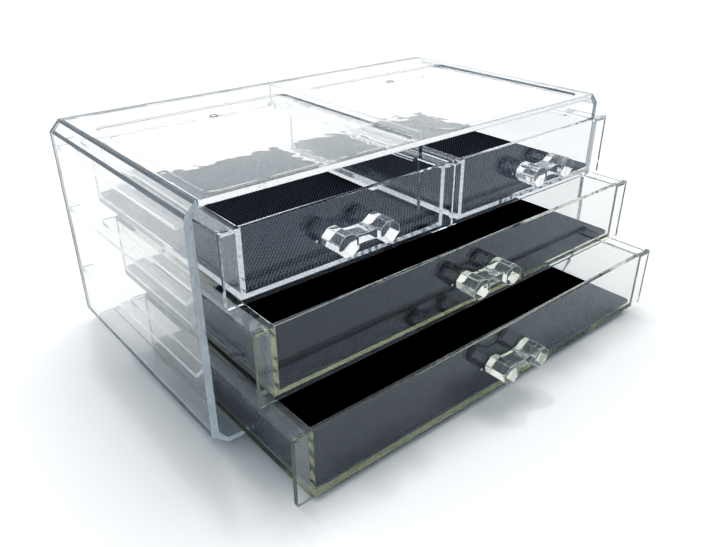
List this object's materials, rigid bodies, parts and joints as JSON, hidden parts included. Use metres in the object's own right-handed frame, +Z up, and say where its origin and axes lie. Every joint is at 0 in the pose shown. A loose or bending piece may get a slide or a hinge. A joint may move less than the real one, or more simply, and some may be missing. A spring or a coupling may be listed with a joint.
{
  "type": "desk organizer",
  "caption": "Clear plastic desk organizer with small drawers above wide ones, dog-bone pulls, dark foam liners and shallow trays sunk in the top.",
  "frame": {"origin": "centre of the case's underside, midway between its front opening and its back panel", "axes": "+X to the right seen from the front, -Y out of the front, the way the drawers open, +Z up"},
  "size_m": [0.238, 0.1893, 0.1044],
  "materials": {
    "clear_case_plastic": "clear polished moulded plastic",
    "clear_drawer_plastic": "clear polished moulded plastic, faintly green at the edges",
    "clear_pull_plastic": "clear solid moulded plastic",
    "black_foam_liner": "matt black foam with a fine woven mesh face"
  },
  "bodies": {
    "case": {"case_top": "clear_case_plastic", "case_bottom": "clear_case_plastic", "case_left": "clear_case_plastic", "case_right": "clear_case_plastic", "case_back": "clear_case_plastic", "centre_divider": "clear_case_plastic", "rail_left_low": "clear_case_plastic", "rail_left_mid": "clear_case_plastic", "rail_left_top": "clear_case_plastic", "rail_right_low": "clear_case_plastic", "rail_right_mid": "clear_case_plastic", "rail_right_top": "clear_case_plastic"},
    "top_left_drawer": {"top_left_tray": "clear_drawer_plastic", "top_left_pull": "clear_pull_plastic", "top_left_liner": "black_foam_liner"},
    "top_right_drawer": {"top_right_tray": "clear_drawer_plastic", "top_right_pull": "clear_pull_plastic", "top_right_liner": "black_foam_liner"},
    "middle_drawer": {"middle_tray": "clear_drawer_plastic", "middle_pull": "clear_pull_plastic", "middle_liner": "black_foam_liner"},
    "bottom_drawer": {"bottom_tray": "clear_drawer_plastic", "bottom_pull": "clear_pull_plastic", "bottom_liner": "black_foam_liner"}
  },
  "joints": [
    {"name": "top_left_slide", "type": "slide", "parent": "case", "child": "top_left_drawer", "axis": [0, -1, 0], "range_m": [-0.0108, 0.0892]},
    {"name": "top_right_slide", "type": "slide", "parent": "case", "child": "top_right_drawer", "axis": [0, -1, 0], "range_m": [-0.0108, 0.0892]},
    {"name": "middle_slide", "type": "slide", "parent": "case", "child": "middle_drawer", "axis": [0, -1, 0], "range_m": [-0.0285, 0.0715]},
    {"name": "bottom_slide", "type": "slide", "parent": "case", "child": "bottom_drawer", "axis": [0, -1, 0], "range_m": [-0.048, 0.052]}
  ]
}
